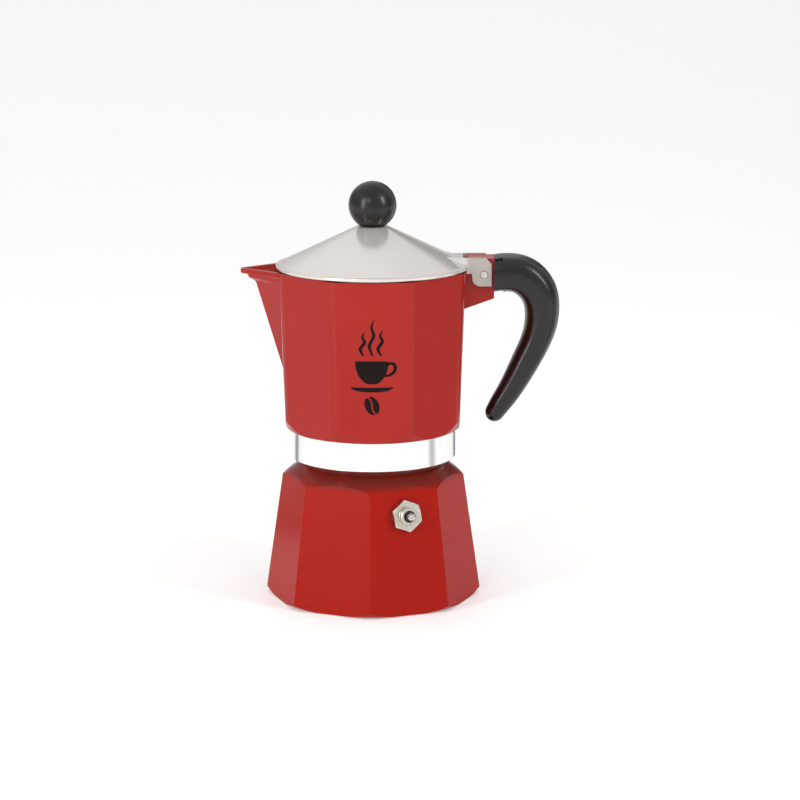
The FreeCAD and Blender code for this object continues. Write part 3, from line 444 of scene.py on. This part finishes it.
# ---------------------------------------------------------------------------
# stage: pale floor, soft light, camera
# ---------------------------------------------------------------------------
fm = Mat("pale_floor")
# painted reflection: dark wedges in the floor colour at the sides of the table, seen only by glossy rays, that put dark
# streaks into the metal's reflections
f_r, f_x, f_y, f_z = radius(fm)
f_phi = fm.math("MULTIPLY", fm.math("ARCTAN2", f_x, fm.math("MULTIPLY", f_y, -1.0)), 57.29578)
glossy_dark_wedges = None
for lo, hi, soft, much in ((-131, -123, 3, 0.80), (83, 90, 3, 0.62), (148, 162, 3, 0.85)):
    one = fm.math("MULTIPLY", fm.math("MULTIPLY", fm.span(f_phi, lo - soft, lo), fm.span(f_phi, hi, hi + soft, 1.0, 0.0)), much)
    glossy_dark_wedges = one if glossy_dark_wedges is None else fm.math("MAXIMUM", glossy_dark_wedges, one)
glossy_dark_wedges = fm.math("MULTIPLY", glossy_dark_wedges, fm.span(f_r, 0.14, 0.20))
glossy_dark_wedges = fm.math("MULTIPLY", glossy_dark_wedges, fm.node("ShaderNodeLightPath").outputs["Is Glossy Ray"])
floor_col = fm.mixc(fm.noise(3.0, 2), (0.93, 0.93, 0.925), (0.95, 0.95, 0.945))
# painted reflection: the wedges are near black and give no emission, for glossy rays only
fm.set(Base_Color=fm.mixc(glossy_dark_wedges, floor_col, (0.02, 0.02, 0.02)), Roughness=fm.math("MULTIPLY_ADD", fm.noise(9.0, 3), 0.1, 0.5),
       Emission_Color=(1.0, 1.0, 1.0), Emission_Strength=fm.mixf(glossy_dark_wedges, 0.19, 0.0))
me = bpy.data.meshes.new("floor")
bm = bmesh.new()
bmesh.ops.create_grid(bm, x_segments=4, y_segments=4, size=6.0)
bm.to_mesh(me)
bm.free()
floor = bpy.data.objects.new("floor", me)
bpy.context.collection.objects.link(floor)
me.materials.append(fm.m)

world = bpy.data.worlds.new("studio") if not bpy.context.scene.world else bpy.context.scene.world
bpy.context.scene.world = world
world.use_nodes = True
wt = world.node_tree
w = Mat("", wt)
wx, wy, wz = w.xyz()
phi = w.math("ARCTAN2", wx, w.math("MULTIPLY", wy, -1.0))      # 0 in front, + to the right
elev = w.math("ARCSINE", wz)


def deg(v):
    return math.radians(v)


def window(v, lo, hi, soft):
    return w.math("MULTIPLY", w.span(v, deg(lo - soft), deg(lo)), w.span(v, deg(hi), deg(hi + soft), 1.0, 0.0))


def shade(level, mask, to):
    return w.mixf(mask, level, to)


# a darker room at eye level, a broad soft ceiling above it, a window in front
low = w.span(elev, deg(0), deg(8), 0.60, 0.55)
ceiling = w.span(elev, deg(12), deg(34))
ceiling_level = w.mixf(w.math("MULTIPLY", w.span(phi, deg(40), deg(130)), w.span(phi, deg(176), deg(150))), 0.92, 0.74)
level = w.mixf(ceiling, low, ceiling_level)
front = w.math("MULTIPLY", window(phi, -40, 25, 25), w.math("MULTIPLY", w.span(elev, deg(2), deg(12)), w.span(elev, deg(70), deg(50))))
level = shade(level, front, 0.80)
below = w.span(elev, deg(34), deg(26))
level = shade(level, w.math("MULTIPLY", window(phi, 85, 95, 4), below), 0.22)
level = shade(level, w.math("MULTIPLY", window(phi, -130, -121, 3), below), 0.12)
level = shade(level, w.math("MULTIPLY", window(phi, 150, 168, 4), below), 0.12)
bg = wt.nodes["Background"]
bg.inputs[0].default_value = (1.0, 0.995, 0.985, 1)
w.link(level, bg.inputs[1])


def area(name, phi, el, dist, sx, sy, power, col=(1, 1, 1), target=(0, 0, 0.085)):
    l = bpy.data.lights.new(name, "AREA")
    l.shape = "RECTANGLE"
    l.size, l.size_y = sx, sy
    l.energy = power
    l.color = col
    o = bpy.data.objects.new(name, l)
    t = Vector(target)
    d = Vector((math.sin(deg(phi)) * math.cos(deg(el)), -math.cos(deg(phi)) * math.cos(deg(el)), math.sin(deg(el))))
    o.location = t + d * dist
    o.rotation_euler = (-d).to_track_quat("-Z", "Y").to_euler()
    bpy.context.collection.objects.link(o)
    return o


area("key_left", -45, 17, 1.0, 0.09, 0.62, 3.0)
area("window_front", -20, 30, 1.3, 0.32, 0.32, 1.2)
area("strip_right", 58, 28, 1.1, 0.12, 0.6, 3.0)

cam = bpy.data.cameras.new("camera")
cam.sensor_width = 36.0
cam.lens = 124.94
cam.clip_start = 0.01
camo = bpy.data.objects.new("camera", cam)
S = 0.385e-3
camo.location = (27.12 * S, -2716.7 * S, 767.0 * S + 0.0012)
camo.rotation_euler = (math.radians(90 - 11.90), 0, 0)
bpy.context.collection.objects.link(camo)
bpy.context.scene.camera = camo
bpy.context.scene.view_settings.view_transform = "Standard"
bpy.context.scene.view_settings.look = "None"

bpy.context.view_layer.update()
